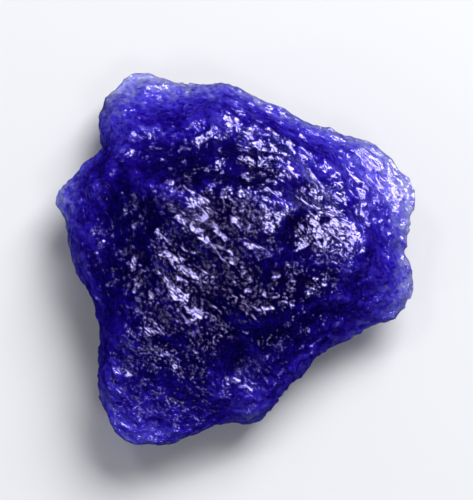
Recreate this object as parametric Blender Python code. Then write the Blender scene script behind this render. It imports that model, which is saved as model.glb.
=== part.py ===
"""Rough tanzanite: one broken lump of deep violet-blue crystal, lying on its broad side.

Sizes are in millimetres up to the last step, which writes the mesh in metres. The frame has +Z up,
and its origin is under the middle of the lump, on the surface that the lump rests on.
"""

import math

import bmesh
import bpy
import numpy as np
from mathutils import Vector, noise

MM = 0.001
NAME = "rough_tanzanite"

# The lump's edge seen from above, anticlockwise from the notch in its right side.
OUTLINE = [
    (14.6, 1.1), (15.1, 3.5), (15.6, 5.7), (15.6, 6.7), (15.1, 7.5), (14.4, 8.3), (12.9, 10.1),
    (11.9, 11.0), (10.8, 11.7), (10.1, 11.6), (8.2, 12.6), (6.7, 12.9), (5.4, 13.2), (4.1, 14.3),
    (2.7, 14.9), (0.0, 16.2), (-1.3, 16.6), (-5.0, 17.2), (-7.5, 17.8), (-9.0, 18.4), (-9.9, 18.5),
    (-11.0, 17.0), (-12.5, 15.5), (-13.0, 12.8), (-12.4, 11.3), (-12.4, 10.4), (-13.2, 10.0),
    (-15.7, 7.8), (-16.8, 6.0), (-16.7, 5.2), (-15.8, 4.4), (-15.4, 2.4), (-14.3, -1.2),
    (-13.0, -3.9), (-12.4, -6.0), (-12.5, -9.7), (-12.6, -11.6), (-12.1, -13.2), (-11.4, -15.0),
    (-10.4, -16.1), (-9.3, -16.5), (-6.0, -16.1), (-3.2, -14.9), (-1.1, -14.2), (1.2, -14.2),
    (1.9, -13.7), (3.1, -12.4), (5.0, -10.1), (7.4, -7.8), (10.0, -6.3), (11.5, -5.4),
    (12.8, -5.2), (14.0, -4.6), (15.0, -3.4), (15.5, -1.7), (15.1, 0.0),
]
NOTCH_FADE = math.radians(28)  # the outline's notches are softened this far for the middle
NOTCH_DEPTH = 4  # and how suddenly they come back towards the edge

# Heights over the resting surface.
CROWN = 13.8
KEEL = -0.3  # the underside before it is worn flat
RIM = 4.6  # the widest level of the edge
RIM_WAVES = [(2, 0.6, 1.0), (5, 0.0, 0.5)]  # how it goes up and down: waves all around, start, height

# The crown has three broad faces that fall away from its summit: the way each one falls, seen from
# above in degrees, and how steeply.
SUMMIT = (-3.0, 4.9)
CROWN_FACES = {"right": (24, 0.35), "near": (263, 0.28), "far_left": (115, 0.18)}
SUMMIT_ROUNDING = 0.8

# The cross-section from the middle to the edge. A squareness of 2 is an ellipse, and more has a
# flatter top and a fuller edge. The corners are spread for these half sizes.
SQUARENESS = 2.1
HALF_WIDTH = 16.0
HALF_HEIGHT = 6.5

# How the edge tapers, by direction seen from above in degrees. More is a thin feather edge and
# less is a blunt side.
EDGE_TAPER = {
    0: 1.6, 22: 2.2, 45: 2.1, 70: 1.6, 95: 1.5, 118: 2.1, 138: 1.3, 158: 2.1, 180: 1.1,
    205: 0.85, 240: 0.8, 270: 0.75, 300: 0.9, 325: 1.4, 345: 2.1,
}
UNDER_TAPER = 1.3  # the same for the underside, times the root of the edge's own

# The crests that cross the crown: from, to, height, width of the steep side and of the gentle
# side. The steep side is on the left of the way from the first point to the second.
CRESTS = {
    "left_band": ((-11.6, 9.1), (-5.2, 4.3), 1.3, 1.1, 2.9),
    "middle_shoulder": ((4.0, 12.6), (2.6, 2.4), 1.3, 1.5, 2.4),
    "right_shoulder": ((2.4, 4.6), (9.2, -0.5), 0.78, 1.7, 2.0),
    "far_groove_wall": ((2.0, 12.5), (7.0, 7.9), 1.26, 1.3, 1.1),
    "streaked_patch": ((6.3, -1.3), (10.3, -0.8), 0.75, 1.1, 1.7),
    "near_row": ((-4.4, -4.4), (3.4, -6.9), 0.38, 1.1, 1.2),
    "short_crest": ((-7.0, 2.4), (-4.8, -2.2), 0.15, 2.1, 2.7),
    "near_left_lump": ((-7.9, -7.2), (-4.1, -10.6), 0.52, 1.1, 3.2),
    "near_left_edge": ((-12.7, -9.5), (-8.8, -11.9), 0.59, 1.5, 1.1),
    "far_left_knob": ((-11.1, 11.7), (-9.1, 12.8), 1.16, 1.9, 1.1),
    "far_middle_knob": ((-4.6, 14.6), (-3.2, 13.2), 1.3, 3.2, 1.3),
    "lens": ((-5.0, 9.7), (-4.4, 8.0), 0.42, 1.1, 1.1),
    "far_right_facet": ((11.5, 9.5), (14.1, 7.2), 0.58, 1.8, 1.1),
    "left_shoulder": ((-10.8, -5.3), (-11.2, 6.6), 0.15, 2.7, 1.2),
}

# The valleys between them: from, to, depth and half width.
VALLEYS = {
    "from_the_left_notch": ((-12.6, 11.3), (-1.1, 9.6), 1.21, 2.4),
    "far_groove": ((1.9, 14.0), (7.3, 5.1), 1.0, 0.8),
    "right_crease": ((16.1, 11.0), (14.8, -0.9), 1.18, 0.8),
    "dark_middle": ((0.5, 3.4), (6.1, -2.2), 0.1, 0.8),
    "near_fold": ((-3.3, -4.8), (-0.3, -12.6), 0.82, 2.2),
    "left_dip": ((-11.3, 0.7), (-7.1, -3.5), 0.6, 1.8),
    "near_right_notch": ((10.9, -4.2), (10.0, -2.6), 1.19, 1.5),
    "near_right_hollow": ((0.0, -10.1), (8.6, -5.1), 1.1, 2.0),
}
END_FADE = 1.6  # how far crests and valleys go on past their ends

# How far crests and valleys wander from a straight line, and over what length they do so.
CREST_WANDER = 1.1
CREST_WANDER_WIDTH = 4.5
WANDER_APART = [(9.3, -1.5, -7.9), (0.0, 0.0, 0.0), (-4.7, 6.1, 3.3)]

# Chips out of the whole surface, coarse to fine: width, depth, how far each one is tilted, how far
# they leave the outline as it is, and the spot where their pattern starts.
CHIPS = [
    (7.0, 1.6, 0.09, 0.9, (43.2, 41.0, 51.5)),
    (3.0, 0.62, 0.15, 0.65, (14.9, 33.2, 48.0)),
    (1.6, 0.32, 0.18, 0.4, (0.1, 14.8, 7.8)),
]
CREST_ROUNDING = 0.09  # of the crests between chips, as a share of the chips' width squared
CHIP_WANDER = 0.45  # how uneven the chips' borders are, as a share of their width
CHIP_WANDER_PACE = 0.8
LEAN_PACE = 7.3  # far enough apart that no two chips lean alike
USUAL_SQUARE = 0.25  # of the distance from a chip's middle, in widths squared
GRAIN = math.radians(-40)  # the way that chips run along the crown
GRAIN_STRETCH = 1.7
EVENING_ROUNDS = 4  # of the directions that the chips are cut in

# The worn underside that the chips leave alone, and how narrow the band along the edge is.
FLAT_SPOT = 6.0
WORN = 0.9
EDGE_BAND = 8

FACES_PER_SIDE = 28  # of the cube that is blown up into the lump


def clear_scene():
    for old in list(bpy.data.objects):
        bpy.data.objects.remove(old)


def smooth_closed(points, steps):
    """A smooth closed curve through the points, steps points to each stretch."""
    points = np.array(points, float)
    before, after, far = (np.roll(points, shift, axis=0) for shift in (1, -1, -2))
    curve = []
    for t in np.arange(steps) / steps:
        curve.append(
            0.5
            * (
                2 * points
                + (after - before) * t
                + (2 * before - 5 * points + 4 * after - far) * t**2
                + (3 * points - before - 3 * after + far) * t**3
            )
        )
    return np.stack(curve, axis=1).reshape(-1, 2)


def edge_distance(angle, softness):
    """How far the outline is from the middle, at each angle, with its small turns softened."""
    curve = smooth_closed(OUTLINE, 8)
    angles = np.arctan2(curve[:, 1], curve[:, 0])
    order = np.argsort(angles)
    reach = np.hypot(curve[:, 0], curve[:, 1])
    around = angle[:, None] + np.linspace(-softness, softness, 9)
    return np.interp(around, angles[order], reach[order], period=2 * math.pi).mean(axis=1)


def wander(spot):
    """A shift that changes smoothly with the spot, up to about 1 each way."""
    return Vector([noise.noise(spot + Vector(apart)) for apart in WANDER_APART])


def bend(x, y):
    """A shift that makes straight crests and valleys wander."""
    return CREST_WANDER * np.array(wander(Vector((x, y, 0)) / CREST_WANDER_WIDTH)[:2])


def along(place, start, end):
    """Signed distance to the left of the line from start to end, and how it fades past its ends."""
    start, end = np.array(start), np.array(end)
    length = np.linalg.norm(end - start)
    way = (end - start) / length
    left = np.array([-way[1], way[0]])
    forward = (place - start) @ way
    past = np.maximum(0, np.maximum(-forward, forward - length))
    return (place - start) @ left, np.exp(-((past / END_FADE) ** 2))


def crest_height(place, start, end, height, steep, gentle):
    side, fade = along(place, start, end)
    width = np.where(side > 0, steep, gentle)
    return height * np.exp(-np.abs(side) / width) * fade


def valley_depth(place, start, end, depth, width):
    side, fade = along(place, start, end)
    return depth * np.exp(-((side / width) ** 2)) * fade


def crown_height(place):
    """The upper surface's height over the resting surface, away from the edge."""
    place = place + np.array([bend(x, y) for x, y in place])
    falls = []
    for turn, slope in CROWN_FACES.values():
        way = np.array([math.cos(math.radians(turn)), math.sin(math.radians(turn))])
        falls.append(slope * (place - SUMMIT) @ way)
    height = CROWN - SUMMIT_ROUNDING * np.log(np.exp(np.array(falls) / SUMMIT_ROUNDING).sum(axis=0))
    for crest in CRESTS.values():
        height = height + crest_height(place, *crest)
    for valley in VALLEYS.values():
        height = height - valley_depth(place, *valley)
    return height


def rim_height(angle):
    """The level of the widest part of the edge."""
    return RIM + sum(height * np.sin(count * angle + start) for count, start, height in RIM_WAVES)


def cube_sphere():
    """A unit sphere of even four-sided faces, made from a cube."""
    cage = bmesh.new()
    bmesh.ops.create_cube(cage, size=2.0)
    bmesh.ops.subdivide_edges(
        cage, edges=cage.edges[:], cuts=FACES_PER_SIDE - 1, use_grid_fill=True
    )
    cage.verts.index_update()
    for corner in cage.verts:
        spread = [math.tan(c * math.pi / 4) for c in corner.co]
        corner.co = Vector(spread).normalized()
    return cage


def section():
    """The half cross-section at even shares of surface: distance from the middle, and rise."""
    turn = np.linspace(0, math.pi / 2, 400)
    out, rise = np.cos(turn) ** (2 / SQUARENESS), np.sin(turn) ** (2 / SQUARENESS)
    middle = (out[1:] + out[:-1]) / 2
    strip = middle * np.hypot(np.diff(out) * HALF_WIDTH, np.diff(rise) * HALF_HEIGHT)
    share = np.concatenate([[0], np.cumsum(strip)])
    return share / share[-1], out, rise


def lump(cage):
    """Turns the sphere's corners into the lump's main form.

    Gives how near each corner is to the worn spot, and to the outline, from 0 to 1.
    """
    corners = np.array([corner.co for corner in cage.verts])
    share, out_at, rise_at = section()
    level = np.abs(corners[:, 2])
    out = np.interp(level, share, out_at)
    rise = np.interp(level, share, rise_at)
    angle = np.arctan2(corners[:, 1], corners[:, 0])
    direction = np.stack([np.cos(angle), np.sin(angle)], axis=1)
    inner, edge = edge_distance(angle, NOTCH_FADE), edge_distance(angle, 0)
    reach = inner + (edge - inner) * out**NOTCH_DEPTH
    place = direction * (reach * out)[:, None]

    taper = np.interp(
        np.degrees(angle), list(EDGE_TAPER), list(EDGE_TAPER.values()), period=360
    )
    rim = rim_height(angle)
    top = rim + (crown_height(place) - rim) * rise**taper
    bottom = rim + (KEEL - rim) * rise ** (UNDER_TAPER * np.sqrt(taper))
    height = np.where(corners[:, 2] >= 0, top, bottom)
    for corner, (x, y), z in zip(cage.verts, place, height):
        corner.co = (x, y, z)
    under = np.where(corners[:, 2] >= 0, 0, WORN)
    return np.stack([under * np.exp(-((out * reach / FLAT_SPOT) ** 2)), out**EDGE_BAND], axis=1)


def chip_height(spot, width, depth, tilt):
    """The height of a surface broken into hollow, tilted chips that meet in crests."""
    way = Vector((math.cos(GRAIN), math.sin(GRAIN), 0))
    spot = spot - way * (spot.dot(way) * (1 - 1 / GRAIN_STRETCH))
    spot = spot / width
    spot = spot + CHIP_WANDER * wander(spot * CHIP_WANDER_PACE)
    total = weights = 0.0
    squares, centres = noise.voronoi(spot, distance_metric="DISTANCE_SQUARED")
    for square, centre in zip(squares, centres):
        weight = math.exp((squares[0] - square) / CREST_ROUNDING)
        lean = 2 * noise.cell_vector(centre * LEAN_PACE) - Vector((1, 1, 1))
        hollow = depth * (square - USUAL_SQUARE)
        total += weight * (hollow + tilt * width * lean.dot(spot - centre))
        weights += weight
    return total / weights


def even_normals(cage):
    """Each corner's normal, evened out with its neighbours' so that deep chips don't cross."""
    cage.normal_update()
    normals = [corner.normal.copy() for corner in cage.verts]
    for _ in range(EVENING_ROUNDS):
        normals = [
            sum((normals[edge.other_vert(corner).index] for edge in corner.link_edges), Vector())
            for corner in cage.verts
        ]
        for normal in normals:
            normal.normalize()
    return normals


def chip(cage, hold):
    """Breaks the smooth form into curved chips, less so where hold says so."""
    moves = []
    for corner, normal, (worn, edge) in zip(cage.verts, even_normals(cage), hold):
        move = 0.0
        for width, depth, tilt, edge_hold, shift in CHIPS:
            spot = corner.co + Vector(shift) * width
            move += chip_height(spot, width, depth, tilt) * (1 - edge_hold * edge)
        moves.append(normal * (move * (1 - worn)))
    for corner, move in zip(cage.verts, moves):
        corner.co += move


def settle(cage):
    """Wears the underside flat and centres the lump over the origin."""
    for corner in cage.verts:
        corner.co.z = max(corner.co.z, 0)
    corners = np.array([corner.co for corner in cage.verts])
    middle = (corners.min(axis=0) + corners.max(axis=0)) / 2
    for corner in cage.verts:
        corner.co.x -= middle[0]
        corner.co.y -= middle[1]


def crystal_material():
    material = bpy.data.materials.new("violet_blue_crystal")
    material.use_nodes = True
    shader = material.node_tree.nodes["Principled BSDF"]
    shader.inputs["Base Color"].default_value = (0.035, 0.02, 0.33, 1)
    shader.inputs["Roughness"].default_value = 0.2
    shader.inputs["Metallic"].default_value = 0
    shader.inputs["IOR"].default_value = 1.69
    shader.inputs["Transmission Weight"].default_value = 0.8
    return material


def make_stone():
    cage = cube_sphere()
    chip(cage, lump(cage))
    settle(cage)
    bmesh.ops.scale(cage, vec=(MM, MM, MM), verts=cage.verts)
    bmesh.ops.triangulate(cage, faces=cage.faces[:], quad_method="SHORT_EDGE")
    bmesh.ops.recalc_face_normals(cage, faces=cage.faces[:])
    mesh = bpy.data.meshes.new(NAME)
    cage.to_mesh(mesh)
    cage.free()
    mesh.materials.append(crystal_material())
    stone = bpy.data.objects.new(NAME, mesh)
    collection = bpy.data.collections.new("rough_tanzanite_specimen")
    bpy.context.scene.collection.children.link(collection)
    collection.objects.link(stone)
    return stone


clear_scene()
make_stone()
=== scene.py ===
"""The looks of the rough tanzanite: a wet-looking, finely chipped, see-through violet-blue crystal.

Sizes are in metres.
"""

import math

import bmesh
import bpy
import numpy as np
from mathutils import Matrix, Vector, noise
from mathutils.bvhtree import BVHTree


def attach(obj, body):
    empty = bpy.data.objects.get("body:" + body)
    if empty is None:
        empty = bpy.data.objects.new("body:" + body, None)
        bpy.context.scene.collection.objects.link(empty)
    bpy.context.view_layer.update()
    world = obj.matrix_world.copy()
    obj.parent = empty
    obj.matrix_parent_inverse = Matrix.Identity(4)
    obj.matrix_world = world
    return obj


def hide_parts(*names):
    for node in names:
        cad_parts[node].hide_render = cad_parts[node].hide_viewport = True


MM = 0.001
NODE = "rough_tanzanite"

# The photograph: its size, how many millimetres a pixel covers, and the middle of the stone in it.
PHOTO_PIXELS = (473, 500)
MM_PER_PIXEL = 0.09
STONE_PIXEL = (234.0, 254.4)
CAMERA_ELEVATION = math.radians(78)
CAMERA_DISTANCE = 0.26
RIM_HEIGHT = 4.6 * MM  # the level of the stone's outline

# The refined copy of the solid: points closer than this are one, triangles this alike are joined
# in pairs, and each face is then split in four this many times.
SAME_POINT = 0.001 * MM
JOIN_ANGLE = math.radians(50)
JOIN_SKEW = math.radians(60)
SPLITS = 2

# Small chips on top of the solid's: width, depth and tilt.
SMALL_CHIPS = [(1.1 * MM, 0.22 * MM, 0.18), (0.6 * MM, 0.12 * MM, 0.18)]
CREST_ROUNDING = 0.03  # of the crests between chips, as a share of the chips' width squared
CHIP_WANDER = 0.45  # how uneven the chips' borders are, as a share of their width
CHIP_WANDER_PACE = 0.8
WANDER_APART = [(9.3, -1.5, -7.9), (0.0, 0.0, 0.0), (-4.7, 6.1, 3.3)]
LEAN_PACE = 7.3  # far enough apart that no two chips lean alike
USUAL_SQUARE = 0.25  # of the distance from a chip's middle, in widths squared
LEVEL_BAND = 0.3 * MM  # how far over the resting surface the small chips fade in

# Chips too small for the mesh, which only turn the light: flat facets by width, tilt and how rare
# large tilts are, and hollow scoops by width and depth.
FACETS = [(0.42 * MM, 1.0, 3), (0.24 * MM, 0.2, 1)]
SCOOPS = (0.2 * MM, 0.045 * MM)
MIDDLE_COLOUR = (0.5, 0.5, 0.5)  # of the random colours that say how the facets lean

# The way that chips run along the crown and how far they are stretched along it, and over what
# width and how far the ones too small for the mesh stray.
GRAIN = math.radians(-40)
GRAIN_STRETCH = 1.9
STRAY_WIDTH = 0.9 * MM
STRAY = 0.5 * MM

# How thick the crystal is around a point, towards the light, is measured by looking into it in many
# directions from just under its surface. Looks that only graze the surface don't count. It sets the
# painted glow and painted shade in the crystal's colour.
LOOKS = 26
START_DEPTH = 0.02 * MM
LEAST_INWARD = 0.05
CLEARNESS = 5.0 * MM  # how far light goes inside before it fades to about a third
# The painted glow in the colour is brightest on the side this points to.
BRIGHT_WAY = Vector((0.42, 1.13, 0))  # where most of the light inside comes from
EVENING_ROUNDS = 16

# The crystal's colour by how thick it is towards the light, in millimetres: its own violet-blue
# hue, with painted glow where it is thin and painted shade where it is thick. Then the light that
# its inside lets through, which absorbs the rest.
BODY_AND_PAINTED_GLOW_COLOURS = [
    (0.0, (0.60, 0.62, 1.0)),
    (2.0, (0.32, 0.33, 1.0)),
    (3.6, (0.14, 0.11, 1.0)),
    (5.0, (0.068, 0.034, 0.85)),
    (6.3, (0.031, 0.007, 0.51)),
    (7.5, (0.016, 0.002, 0.31)),
    (8.6, (0.009, 0.001, 0.20)),
    (10.0, (0.005, 0.0, 0.11)),
    (12.0, (0.003, 0.0, 0.05)),
]
# The facets' random share of that depth also mottles the painted glow and painted shade.
MOTTLING = 3.0  # how much the facets differ in that thickness, in millimetres
LET_THROUGH = (0.2, 0.0, 0.855)
DENSITY = 260.0
FINISH = {
    "Roughness": 0.2,
    "IOR": 1.69,
    "Specular Tint": (0.32, 0.24, 1.0, 1),
    "Transmission Weight": 0.72,
    "Coat Weight": 1.0,
    "Coat Roughness": 0.06,
    "Coat IOR": 1.5,
}

FLOOR_REACH = 2.0
FLOOR_FINISH = {
    "Base Color": (0.495, 0.508, 0.485, 1),
    "Roughness": 0.9,
    "Specular IOR Level": 0.1,
}

# The lights by azimuth and elevation in degrees, size and brightness. The key's glints make the
# bright sheets, and the others make single glints on the sides that face away from it.
LIGHTS = {
    "key": (146, 50, 0.31, 17.0),
    "far left": (225, 60, 0.08, 14.0),
    "near right": (30, 52, 0.1, 12.0),
    "near left": (305, 32, 0.1, 6.0),
}
LIGHT_COLOUR = (0.92, 0.90, 1.0)
LIGHT_DISTANCE = 0.5
STUDIO = {"Color": (0.97, 0.97, 1.0, 1), "Strength": 0.3}


def set_values(node, values):
    for name, value in values.items():
        node.inputs[name].default_value = value


def refined_copy(node):
    """The node's mesh again, evened out and with about sixteen times the faces."""
    cage = bmesh.new()
    cage.from_mesh(node.data)
    cage.transform(node.matrix_world)
    bmesh.ops.remove_doubles(cage, verts=cage.verts[:], dist=SAME_POINT)
    bmesh.ops.join_triangles(
        cage,
        faces=cage.faces[:],
        angle_face_threshold=JOIN_ANGLE,
        angle_shape_threshold=JOIN_SKEW,
    )
    mesh = bpy.data.meshes.new("crystal_cage")
    cage.to_mesh(mesh)
    cage.free()
    holder = bpy.data.objects.new("crystal_cage", mesh)
    bpy.context.scene.collection.objects.link(holder)
    smooth = holder.modifiers.new("smooth", "SUBSURF")
    smooth.levels = smooth.render_levels = SPLITS
    seen = holder.evaluated_get(bpy.context.evaluated_depsgraph_get())
    refined = bpy.data.meshes.new_from_object(seen)
    bpy.data.objects.remove(holder)
    return refined


def wander(spot):
    """A shift that changes smoothly with the spot, up to about 1 each way."""
    return Vector([noise.noise(spot + Vector(apart)) for apart in WANDER_APART])


def chip_height(spot, width, depth, tilt):
    """The height of a surface broken into hollow, tilted chips that meet in crests."""
    way = Vector((math.cos(GRAIN), math.sin(GRAIN), 0))
    spot = spot - way * (spot.dot(way) * (1 - 1 / GRAIN_STRETCH))
    spot = spot / width
    spot = spot + CHIP_WANDER * wander(spot * CHIP_WANDER_PACE)
    total = weights = 0.0
    squares, centres = noise.voronoi(spot, distance_metric="DISTANCE_SQUARED")
    for square, centre in zip(squares, centres):
        weight = math.exp((squares[0] - square) / CREST_ROUNDING)
        lean = 2 * noise.cell_vector(centre * LEAN_PACE) - Vector((1, 1, 1))
        hollow = depth * (square - USUAL_SQUARE)
        total += weight * (hollow + tilt * width * lean.dot(spot - centre))
        weights += weight
    return total / weights


def chip(mesh):
    """Covers the mesh in small curved chips, and keeps its resting patch level."""
    moved = []
    for vertex, normal in zip(mesh.vertices, mesh.vertex_normals):
        fade = min(1.0, max(0.0, vertex.co.z / LEVEL_BAND))
        push = sum(chip_height(vertex.co, *sizes) for sizes in SMALL_CHIPS) * fade
        moved.append(vertex.co + normal.vector * push)
    for vertex, place in zip(mesh.vertices, moved):
        vertex.co = (place.x, place.y, max(place.z, 0))
    mesh.update()


def spread_looks():
    """Directions spread evenly all around."""
    looks = []
    for step in range(LOOKS):
        height = 1 - (2 * step + 1) / LOOKS
        turn = step * math.pi * (3 - math.sqrt(5))
        across = math.sqrt(1 - height * height)
        looks.append(Vector((math.cos(turn) * across, math.sin(turn) * across, height)))
    return looks


def measure_painted_glow_depth(mesh):
    """Stores how thick the crystal is around each point, in millimetres.

    It is the depth at which light would fade as much as it does on its ways in from all around.
    The ways in from above, from below and from the bright side count most, so the painted glow
    and painted shade that it sets in the colour favour the bright side.
    """
    tree = BVHTree.FromPolygons(
        [vertex.co for vertex in mesh.vertices], [list(face.vertices) for face in mesh.polygons]
    )
    looks = spread_looks()
    values = []
    for vertex, normal in zip(mesh.vertices, mesh.vertex_normals):
        start = vertex.co - normal.vector * START_DEPTH
        light = weights = 0.0
        for look in looks:
            if look.dot(normal.vector) < -LEAST_INWARD:
                depth = tree.ray_cast(start, look)[3] or 0.0
                weight = abs(look.z) * math.exp(look.dot(BRIGHT_WAY))
                light += weight * math.exp(-depth / CLEARNESS)
                weights += weight
        values.append(-math.log(light / weights) * CLEARNESS / MM)
    values = even_out(mesh, np.array(values))
    # Stored for the painted glow and painted shade of the base colour.
    attribute = mesh.attributes.new("painted_glow_depth", "FLOAT", "POINT")
    attribute.data.foreach_set("value", values)


def even_out(mesh, values):
    """The values at the mesh's points, each evened out with its neighbours'."""
    edges = np.zeros(len(mesh.edges) * 2, int)
    mesh.edges.foreach_get("vertices", edges)
    ends = np.concatenate([edges[::2], edges[1::2]])
    others = np.concatenate([edges[1::2], edges[::2]])
    count = np.bincount(ends, minlength=len(values))
    for _ in range(EVENING_ROUNDS):
        around = np.bincount(ends, weights=values[others], minlength=len(values)) / count
        values = (values + around) / 2
    return values


def crystal_material():
    material = bpy.data.materials.new("violet_blue_crystal")
    material.use_nodes = True
    nodes, links = material.node_tree.nodes, material.node_tree.links
    shader = nodes["Principled BSDF"]
    place = make_grain(nodes, links)
    facets = [make_cells(nodes, links, place, width) for width, _, _ in FACETS]
    # The base colour holds the crystal's own hue with painted glow and painted shade.
    links.new(make_body_and_painted_glow_colour(nodes, links, facets), shader.inputs["Base Color"])
    set_values(shader, FINISH)
    way = make_facing(nodes, links, place, facets)
    links.new(way, shader.inputs["Normal"])
    links.new(way, shader.inputs["Coat Normal"])
    inside = nodes.new("ShaderNodeVolumeAbsorption")
    set_values(inside, {"Color": (*LET_THROUGH, 1), "Density": DENSITY})
    links.new(inside.outputs["Volume"], nodes["Material Output"].inputs["Volume"])
    return material


def make_grain(nodes, links):
    """The place in the crystal, stretched along the grain and made to stray."""
    along = nodes.new("ShaderNodeMapping")
    along.vector_type = "TEXTURE"
    set_values(along, {"Rotation": (0, 0, GRAIN), "Scale": (GRAIN_STRETCH, 1, 1)})
    links.new(nodes.new("ShaderNodeTexCoord").outputs["Object"], along.inputs["Vector"])
    stray = nodes.new("ShaderNodeTexNoise")
    set_values(stray, {"Scale": 1 / STRAY_WIDTH, "Detail": 2})
    links.new(along.outputs["Vector"], stray.inputs["Vector"])
    return times_and_plus(nodes, links, stray.outputs["Color"], STRAY, along.outputs["Vector"])


def times_and_plus(nodes, links, vector, factor, more):
    """vector * factor + more, for vectors."""
    node = nodes.new("ShaderNodeVectorMath")
    node.operation = "MULTIPLY_ADD"
    node.inputs[1].default_value = (factor,) * 3
    links.new(vector, node.inputs[0])
    links.new(more, node.inputs[2])
    return node.outputs["Vector"]


def make_cells(nodes, links, place, width):
    cells = nodes.new("ShaderNodeTexVoronoi")
    cells.inputs["Scale"].default_value = 1 / width
    links.new(place, cells.inputs["Vector"])
    return cells


def calculate(nodes, links, operation, value, *numbers):
    """One arithmetic operation on a value. The numbers after it are fixed or values too."""
    node = nodes.new("ShaderNodeMath")
    node.operation = operation
    links.new(value, node.inputs[0])
    for number, socket in zip(numbers, node.inputs[1:]):
        if isinstance(number, bpy.types.NodeSocket):
            links.new(number, socket)
        else:
            socket.default_value = number
    return node.outputs[0]


def make_body_and_painted_glow_colour(nodes, links, facets):
    """Violet-blue with a painted glow, pale where the crystal is thin, down to painted shade,
    nearly black, where it is thick.
    """
    painted_glow_depth = nodes.new("ShaderNodeAttribute")
    painted_glow_depth.attribute_name = "painted_glow_depth"
    depth = painted_glow_depth.outputs["Fac"]
    for cells in facets:
        # Each facet shifts the depth at random, so the painted glow and shade are mottled.
        depth = calculate(nodes, links, "MULTIPLY_ADD", cells.outputs["Color"], MOTTLING, depth)
        depth = calculate(nodes, links, "SUBTRACT", depth, MOTTLING / 2)
    deepest = BODY_AND_PAINTED_GLOW_COLOURS[-1][0]
    ramp = nodes.new("ShaderNodeValToRGB")
    links.new(calculate(nodes, links, "DIVIDE", depth, deepest), ramp.inputs["Fac"])
    steps = ramp.color_ramp.elements
    while len(steps) < len(BODY_AND_PAINTED_GLOW_COLOURS):
        steps.new(1.0)
    for step, (reach, colour) in zip(steps, BODY_AND_PAINTED_GLOW_COLOURS):
        step.position = reach / deepest
        step.color = (*colour, 1)
    return ramp.outputs["Color"]


def make_facing(nodes, links, place, facets):
    """The way that the surface faces, with flat facets and hollow scoops too small for the mesh."""
    facing = nodes.new("ShaderNodeNewGeometry").outputs["Normal"]
    for cells, (_, tilt, power) in zip(facets, FACETS):
        centred = nodes.new("ShaderNodeVectorMath")
        centred.operation = "SUBTRACT"
        centred.inputs[1].default_value = MIDDLE_COLOUR
        links.new(cells.outputs["Color"], centred.inputs[0])
        lean = centred.outputs["Vector"]
        for _ in range(power - 1):
            product = nodes.new("ShaderNodeVectorMath")
            product.operation = "MULTIPLY"
            links.new(lean, product.inputs[0])
            links.new(centred.outputs["Vector"], product.inputs[1])
            lean = product.outputs["Vector"]
        facing = times_and_plus(nodes, links, lean, tilt, facing)
    even = nodes.new("ShaderNodeVectorMath")
    even.operation = "NORMALIZE"
    links.new(facing, even.inputs[0])
    width, depth = SCOOPS
    distance = make_cells(nodes, links, place, width).outputs["Distance"]
    bump = nodes.new("ShaderNodeBump")
    set_values(bump, {"Strength": 1.0, "Distance": depth})
    links.new(calculate(nodes, links, "POWER", distance, 2), bump.inputs["Height"])
    links.new(even.outputs["Vector"], bump.inputs["Normal"])
    return bump.outputs["Normal"]


def make_crystal(node):
    mesh = refined_copy(node)
    measure_painted_glow_depth(mesh)
    chip(mesh)
    mesh.materials.clear()
    mesh.materials.append(crystal_material())
    mesh.shade_smooth()
    crystal = bpy.data.objects.new("crystal", mesh)
    bpy.context.scene.collection.objects.link(crystal)
    return crystal


def make_floor():
    mesh = bpy.data.meshes.new("floor")
    cage = bmesh.new()
    bmesh.ops.create_grid(cage, x_segments=1, y_segments=1, size=FLOOR_REACH)
    cage.to_mesh(mesh)
    cage.free()
    floor = bpy.data.objects.new("floor", mesh)
    bpy.context.scene.collection.objects.link(floor)
    paint = bpy.data.materials.new("floor")
    paint.use_nodes = True
    set_values(paint.node_tree.nodes["Principled BSDF"], FLOOR_FINISH)
    mesh.materials.append(paint)
    return floor


def look_from(thing, target, azimuth, elevation, distance):
    """Puts a camera or a light on a sphere around the target, facing it.

    An azimuth of 0 is the near side, and it grows anticlockwise seen from above.
    """
    away = Vector(
        (
            math.sin(azimuth) * math.cos(elevation),
            -math.cos(azimuth) * math.cos(elevation),
            math.sin(elevation),
        )
    )
    thing.location = target + away * distance
    thing.rotation_euler = away.to_track_quat("Z", "Y").to_euler()


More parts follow.
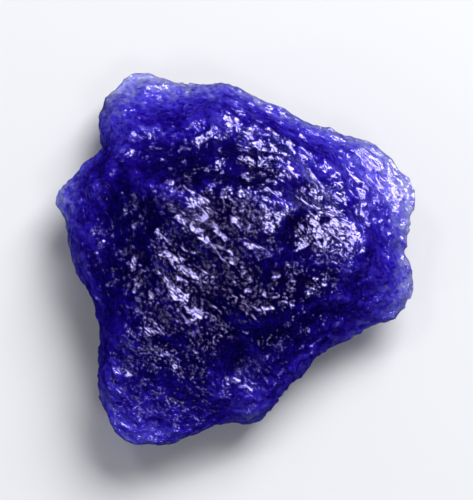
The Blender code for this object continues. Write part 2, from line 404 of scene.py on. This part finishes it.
def make_camera():
    camera = bpy.data.objects.new("camera", bpy.data.cameras.new("camera"))
    bpy.context.scene.collection.objects.link(camera)
    bpy.context.scene.camera = camera
    across = PHOTO_PIXELS[0] * MM_PER_PIXEL * MM
    camera.data.sensor_fit = "HORIZONTAL"
    camera.data.lens = camera.data.sensor_width * CAMERA_DISTANCE / across
    right = (PHOTO_PIXELS[0] / 2 - STONE_PIXEL[0]) * MM_PER_PIXEL * MM
    up = (STONE_PIXEL[1] - PHOTO_PIXELS[1] / 2) * MM_PER_PIXEL * MM
    target = Vector((right, up / math.sin(CAMERA_ELEVATION), RIM_HEIGHT))
    look_from(camera, target, 0, CAMERA_ELEVATION, CAMERA_DISTANCE)
    camera.data.clip_start = MM


def make_light(name, azimuth, elevation, size, brightness):
    """A square soft light. Its power grows with its area, so its face is as bright at any size."""
    light = bpy.data.objects.new(name, bpy.data.lights.new(name, "AREA"))
    bpy.context.scene.collection.objects.link(light)
    light.data.size = size
    light.data.energy = brightness * math.pi * size**2
    light.data.color = LIGHT_COLOUR
    azimuth, elevation = math.radians(azimuth), math.radians(elevation)
    look_from(light, Vector((0, 0, RIM_HEIGHT)), azimuth, elevation, LIGHT_DISTANCE)


def make_lighting():
    scene = bpy.context.scene
    scene.view_settings.view_transform = "Standard"
    world = bpy.data.worlds.new("studio")
    world.use_nodes = True
    set_values(world.node_tree.nodes["Background"], STUDIO)
    scene.world = world
    world.cycles_visibility.glossy = False  # or it lies over the crystal's shine as a haze
    for name, (azimuth, elevation, size, brightness) in LIGHTS.items():
        make_light(name, azimuth, elevation, size, brightness)


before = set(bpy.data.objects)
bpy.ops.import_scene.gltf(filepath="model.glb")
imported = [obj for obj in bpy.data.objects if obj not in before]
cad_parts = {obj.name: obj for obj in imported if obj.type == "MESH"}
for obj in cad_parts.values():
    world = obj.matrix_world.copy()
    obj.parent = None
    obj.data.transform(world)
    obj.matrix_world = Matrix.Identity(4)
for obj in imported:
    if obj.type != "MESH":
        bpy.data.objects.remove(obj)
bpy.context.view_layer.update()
crystal = make_crystal(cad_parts[NODE])
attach(crystal, "root")
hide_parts(NODE)
floor = make_floor()
floor.visible_glossy = False  # for the same reason as the studio's own light
make_camera()
make_lighting()
